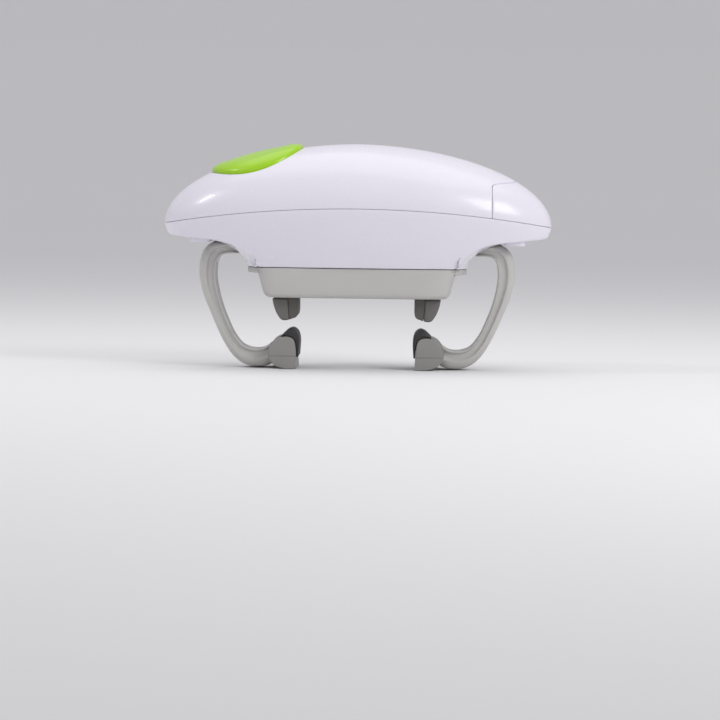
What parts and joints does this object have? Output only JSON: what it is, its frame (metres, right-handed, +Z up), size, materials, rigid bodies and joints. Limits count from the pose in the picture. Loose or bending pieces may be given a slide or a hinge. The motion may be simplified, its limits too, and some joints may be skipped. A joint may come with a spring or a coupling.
{
  "type": "battery jar opener",
  "caption": "Hands-free battery jar opener: boat-shaped housing with a large button, two sliding jar arms with padded shoes, and a turning carriage with two lid jaws.",
  "frame": {"origin": "on the carriage's turning axis at the level of the jar shoes' undersides", "axes": "+X along the housing towards the battery cover, +Z up, +Y away from the main view"},
  "size_m": [0.235, 0.089, 0.136],
  "materials": {
    "white_shell": "satin gloss moulded ABS",
    "green_button": "satin gloss moulded ABS",
    "arm_grey": "satin moulded ABS",
    "shoe_grey": "matte moulded ABS",
    "jaw_grey": "matte moulded ABS",
    "rubber": "matte moulded rubber",
    "steel": "zinc plated steel",
    "acetal": "natural acetal",
    "bronze": "sintered bronze",
    "black_plastic": "black nylon",
    "board_green": "solder mask",
    "cell_wrap": "plain printed wrap, no marks"
  },
  "bodies": {
    "housing": {"upper_shell": "white_shell", "lower_shell": "white_shell", "battery_tray": "acetal", "battery_1": "cell_wrap", "battery_2": "cell_wrap", "battery_contact_1": "steel", "battery_contact_2": "steel", "motor_can": "steel", "motor_end_cap": "black_plastic", "gearbox_base": "acetal", "gearbox_lid": "acetal", "gearbox_screw_1": "steel", "gearbox_screw_2": "steel", "idler_axle": "steel", "spindle_bush": "bronze", "circuit_board": "board_green", "switch_body": "black_plastic", "switch_bracket": "acetal", "button_spring": "steel", "arm_pinion_pin": "steel", "shell_screw_1": "steel", "shell_screw_2": "steel", "shell_screw_3": "steel", "shell_screw_4": "steel"},
    "button": {"button_cap": "green_button"},
    "plunger": {"switch_plunger": "acetal"},
    "battery_cover": {"battery_cover": "white_shell", "contact_bridge": "steel"},
    "arm_left": {"arm_left": "arm_grey", "arm_rack_left": "acetal", "jar_shoe_left": "shoe_grey", "jar_pad_left": "rubber", "shoe_screw_left": "steel"},
    "arm_right": {"arm_right": "arm_grey", "arm_rack_right": "acetal", "jar_shoe_right": "shoe_grey", "jar_pad_right": "rubber", "shoe_screw_right": "steel"},
    "arm_pinion": {"arm_pinion": "acetal"},
    "carriage": {"carriage_plate": "arm_grey", "carriage_tray": "arm_grey", "carriage_spindle": "steel", "output_gear": "acetal", "spindle_clip": "steel", "tray_screw_1": "steel", "tray_screw_2": "steel", "jaw_pinion_pin": "steel"},
    "lid_jaw_left": {"lid_jaw_left": "jaw_grey", "lid_pad_left": "rubber", "lid_rack_left": "acetal"},
    "lid_jaw_right": {"lid_jaw_right": "jaw_grey", "lid_pad_right": "rubber", "lid_rack_right": "acetal"},
    "jaw_pinion": {"jaw_pinion": "acetal"},
    "motor_rotor": {"motor_shaft": "steel", "motor_pinion": "acetal"},
    "idler": {"idler_gear": "acetal"},
    "drive": {"drive_shaft": "steel", "drive_gear": "acetal"}
  },
  "joints": [
    {"name": "arm_left_slide", "type": "slide", "parent": "housing", "child": "arm_left", "axis": [1, 0, 0], "range_m": [-0.009, 0.015]},
    {"name": "arm_right_slide", "type": "slide", "parent": "housing", "child": "arm_right", "axis": [-1, 0, 0], "range_m": [-0.009, 0.015]},
    {"name": "arm_pinion_turn", "type": "hinge", "parent": "housing", "child": "arm_pinion", "pos_m": [0, 0, 0.0702], "axis": [0, 0, 1], "range_deg": [-87, 144.5]},
    {"name": "carriage_turn", "type": "hinge", "parent": "housing", "child": "carriage", "pos_m": [0, 0, 0.0615], "axis": [0, 0, 1], "continuous": true},
    {"name": "lid_jaw_left_slide", "type": "slide", "parent": "carriage", "child": "lid_jaw_left", "axis": [1, 0, 0], "range_m": [-0.005, 0.015]},
    {"name": "lid_jaw_right_slide", "type": "slide", "parent": "carriage", "child": "lid_jaw_right", "axis": [-1, 0, 0], "range_m": [-0.005, 0.015]},
    {"name": "jaw_pinion_turn", "type": "hinge", "parent": "carriage", "child": "jaw_pinion", "pos_m": [0, 0, 0.048], "axis": [0, 0, 1], "range_deg": [-49, 144.5]},
    {"name": "drive_turn", "type": "hinge", "parent": "housing", "child": "drive", "pos_m": [0, 0.022, 0.0648], "axis": [0, 0, 1], "continuous": true},
    {"name": "idler_turn", "type": "hinge", "parent": "housing", "child": "idler", "pos_m": [-0.01229, 0.0134, 0.0833], "axis": [0, 0, 1], "continuous": true},
    {"name": "motor_turn", "type": "hinge", "parent": "housing", "child": "motor_rotor", "pos_m": [-0.01489, -0.00138, 0.0874], "axis": [0, 0, 1], "continuous": true},
    {"name": "button_press", "type": "slide", "parent": "housing", "child": "button", "axis": [0.284, 0, -0.9588], "range_m": [0, 0.0022], "stiffness_N_per_m": 800, "springref_m": -0.001, "deforming": ["button_spring"]},
    {"name": "plunger_press", "type": "slide", "parent": "housing", "child": "plunger", "axis": [0.284, 0, -0.9588], "range_m": [0, 0.0022]},
    {"name": "battery_cover_slide", "type": "slide", "parent": "housing", "child": "battery_cover", "axis": [1, 0, 0], "range_m": [0, 0.045]}
  ],
  "couplings": [
    {"joint": "arm_right_slide", "follows": "arm_left_slide", "ratio": 1},
    {"joint": "arm_pinion_turn", "follows": "arm_left_slide", "rad_per_m": 166.67},
    {"joint": "lid_jaw_right_slide", "follows": "lid_jaw_left_slide", "ratio": 1},
    {"joint": "jaw_pinion_turn", "follows": "lid_jaw_left_slide", "rad_per_m": 166.67},
    {"joint": "drive_turn", "follows": "carriage_turn", "ratio": -3.4},
    {"joint": "idler_turn", "follows": "carriage_turn", "ratio": 7.9333},
    {"joint": "motor_turn", "follows": "carriage_turn", "ratio": -18.511},
    {"joint": "plunger_press", "follows": "button_press", "ratio": 1}
  ]
}
